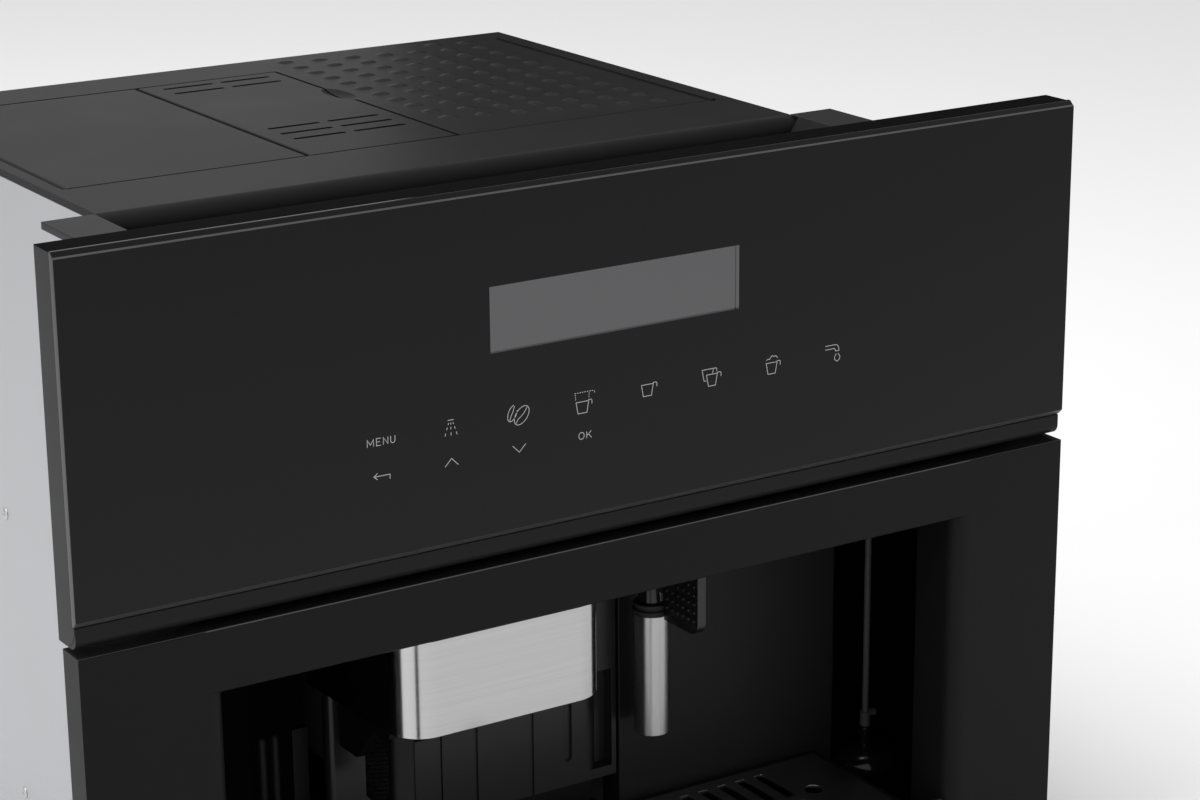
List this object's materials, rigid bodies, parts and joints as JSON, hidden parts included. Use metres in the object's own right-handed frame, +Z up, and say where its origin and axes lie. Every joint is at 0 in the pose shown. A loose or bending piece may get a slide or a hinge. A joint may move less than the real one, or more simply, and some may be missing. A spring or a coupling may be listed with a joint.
{
  "type": "built-in coffee machine",
  "caption": "Flush built-in bean-to-cup coffee machine on runners: dark glass fascia over a niche with a height-adjustable coffee spout, hot water wand, drip tray and side water tank.",
  "frame": {"origin": "on the cupboard floor, under the middle of the bounding box", "axes": "+X to the right seen from the front, +Y to the back of the niche, +Z up"},
  "size_m": [0.595, 0.475, 0.455],
  "materials": {
    "black_glass": "gloss",
    "black_plastic": "satin",
    "gloss_black_plastic": "gloss",
    "grey_plastic": "matt",
    "brushed_steel": "brushed",
    "zinc_sheet": "satin",
    "smoked_plastic": "gloss",
    "rubber": "matt",
    "red_plastic": "satin",
    "circuit_board": "satin",
    "display_lens": "gloss",
    "ceramic": "satin"
  },
  "bodies": {
    "cabinet": {"cabinet_frame": "zinc_sheet"},
    "middle_runners": {"runner_middle_left": "zinc_sheet", "runner_middle_right": "zinc_sheet"},
    "machine": {"runner_machine_left": "zinc_sheet", "runner_machine_right": "zinc_sheet", "floor_tray": "zinc_sheet", "side_panel_left": "zinc_sheet", "side_panel_right": "zinc_sheet", "rear_panel": "zinc_sheet", "motor_stand": "zinc_sheet", "door_hinge_foot": "zinc_sheet", "top_deck": "grey_plastic", "bay_cover": "black_plastic", "corner_bracket_left": "black_plastic", "corner_bracket_right": "black_plastic", "fascia_housing": "gloss_black_plastic", "control_glass": "black_glass", "display_module": "display_lens", "touch_board": "circuit_board", "lower_frame": "black_plastic", "niche_ceiling": "black_plastic", "niche_panel_right": "gloss_black_plastic", "niche_panel_left": "gloss_black_plastic", "side_pocket": "black_plastic", "wand_socket": "black_plastic", "wand_valve": "black_plastic", "side_valve": "black_plastic", "side_tube": "grey_plastic", "bean_hopper": "smoked_plastic", "grinder_housing": "grey_plastic", "burr_ring": "ceramic", "grinder_motor": "brushed_steel", "ground_chute": "grey_plastic", "brew_frame": "grey_plastic", "boiler": "brushed_steel", "pump": "black_plastic", "power_board": "circuit_board", "mains_inlet": "black_plastic"},
    "door": {"service_door": "gloss_black_plastic"},
    "spout": {"spout_cover": "brushed_steel", "nozzle_block": "black_plastic", "nozzle_left": "brushed_steel", "nozzle_right": "brushed_steel"},
    "wand": {"wand_arm": "black_plastic", "wand_collar": "rubber"},
    "sleeve": {"wand_sleeve": "brushed_steel"},
    "tray": {"drip_tub": "black_plastic", "tray_front": "gloss_black_plastic", "grounds_bin": "black_plastic"},
    "grid": {"cup_grid": "brushed_steel"},
    "float": {"level_float": "red_plastic"},
    "bean_flap": {"bean_lid": "grey_plastic"},
    "chute_flap": {"chute_lid": "grey_plastic"},
    "dial": {"grind_dial": "black_plastic"},
    "burr": {"burr_cone": "ceramic"},
    "piston": {"brew_piston": "black_plastic"},
    "rocker": {"rocker_switch": "red_plastic"},
    "tank": {"water_tank": "smoked_plastic"},
    "tank_cap": {"tank_lid": "black_plastic"},
    "bail": {"tank_bail": "black_plastic"}
  },
  "joints": [
    {"name": "middle_slide", "type": "slide", "parent": "cabinet", "child": "middle_runners", "axis": [0, -1, 0], "range_m": [0, 0.15]},
    {"name": "machine_slide", "type": "slide", "parent": "cabinet", "child": "machine", "axis": [0, -1, 0], "range_m": [0, 0.3]},
    {"name": "door_hinge", "type": "hinge", "parent": "machine", "child": "door", "pos_m": [-0.1115, -0.1255, 0.16], "axis": [0, 0, -1], "range_deg": [0, 65]},
    {"name": "spout_slide", "type": "slide", "parent": "door", "child": "spout", "axis": [0, 0, 1], "range_m": [-0.04, 0]},
    {"name": "wand_turn", "type": "hinge", "parent": "machine", "child": "wand", "pos_m": [0.08, -0.1475, 0.25], "axis": [0, 0, 1], "range_deg": [-60, 60]},
    {"name": "sleeve_slide", "type": "slide", "parent": "wand", "child": "sleeve", "axis": [0, 0, -1], "range_m": [0, 0.045]},
    {"name": "tray_slide", "type": "slide", "parent": "machine", "child": "tray", "axis": [0, -1, 0], "range_m": [0, 0.26]},
    {"name": "grid_lift", "type": "slide", "parent": "tray", "child": "grid", "axis": [0, 0, 1], "range_m": [0, 0.03]},
    {"name": "float_rise", "type": "slide", "parent": "tray", "child": "float", "axis": [0, 0, 1], "range_m": [0, 0.008]},
    {"name": "bean_lid_hinge", "type": "hinge", "parent": "machine", "child": "bean_flap", "pos_m": [-0.203, 0.0825, 0.4304], "axis": [0, -1, 0], "range_deg": [0, 95]},
    {"name": "chute_lid_hinge", "type": "hinge", "parent": "machine", "child": "chute_flap", "pos_m": [-0.0612, 0.0825, 0.4304], "axis": [0, -1, 0], "range_deg": [0, 95]},
    {"name": "dial_turn", "type": "hinge", "parent": "machine", "child": "dial", "pos_m": [-0.0923, -0.004, 0.41], "axis": [0, 0, 1], "range_deg": [-150, 150]},
    {"name": "burr_spin", "type": "hinge", "parent": "machine", "child": "burr", "pos_m": [-0.1349, 0.0685, 0.31], "axis": [0, 0, 1], "continuous": true},
    {"name": "piston_rise", "type": "slide", "parent": "machine", "child": "piston", "axis": [0, 0, 1], "range_m": [0, 0.026]},
    {"name": "rocker_tilt", "type": "hinge", "parent": "machine", "child": "rocker", "pos_m": [-0.102, 0.2315, 0.084], "axis": [1, 0, 0], "range_deg": [-8, 8]},
    {"name": "tank_slide", "type": "slide", "parent": "machine", "child": "tank", "axis": [1, 0, 0], "range_m": [0, 0.09]},
    {"name": "tank_lid_lift", "type": "slide", "parent": "tank", "child": "tank_cap", "axis": [0, 0, 1], "range_m": [0, 0.04]},
    {"name": "bail_turn", "type": "hinge", "parent": "tank_cap", "child": "bail", "pos_m": [0.2545, 0.0485, 0.3138], "axis": [0, 1, 0], "range_deg": [0, 90]}
  ],
  "couplings": [
    {"joint": "middle_slide", "follows": "machine_slide", "ratio": 0.5}
  ]
}
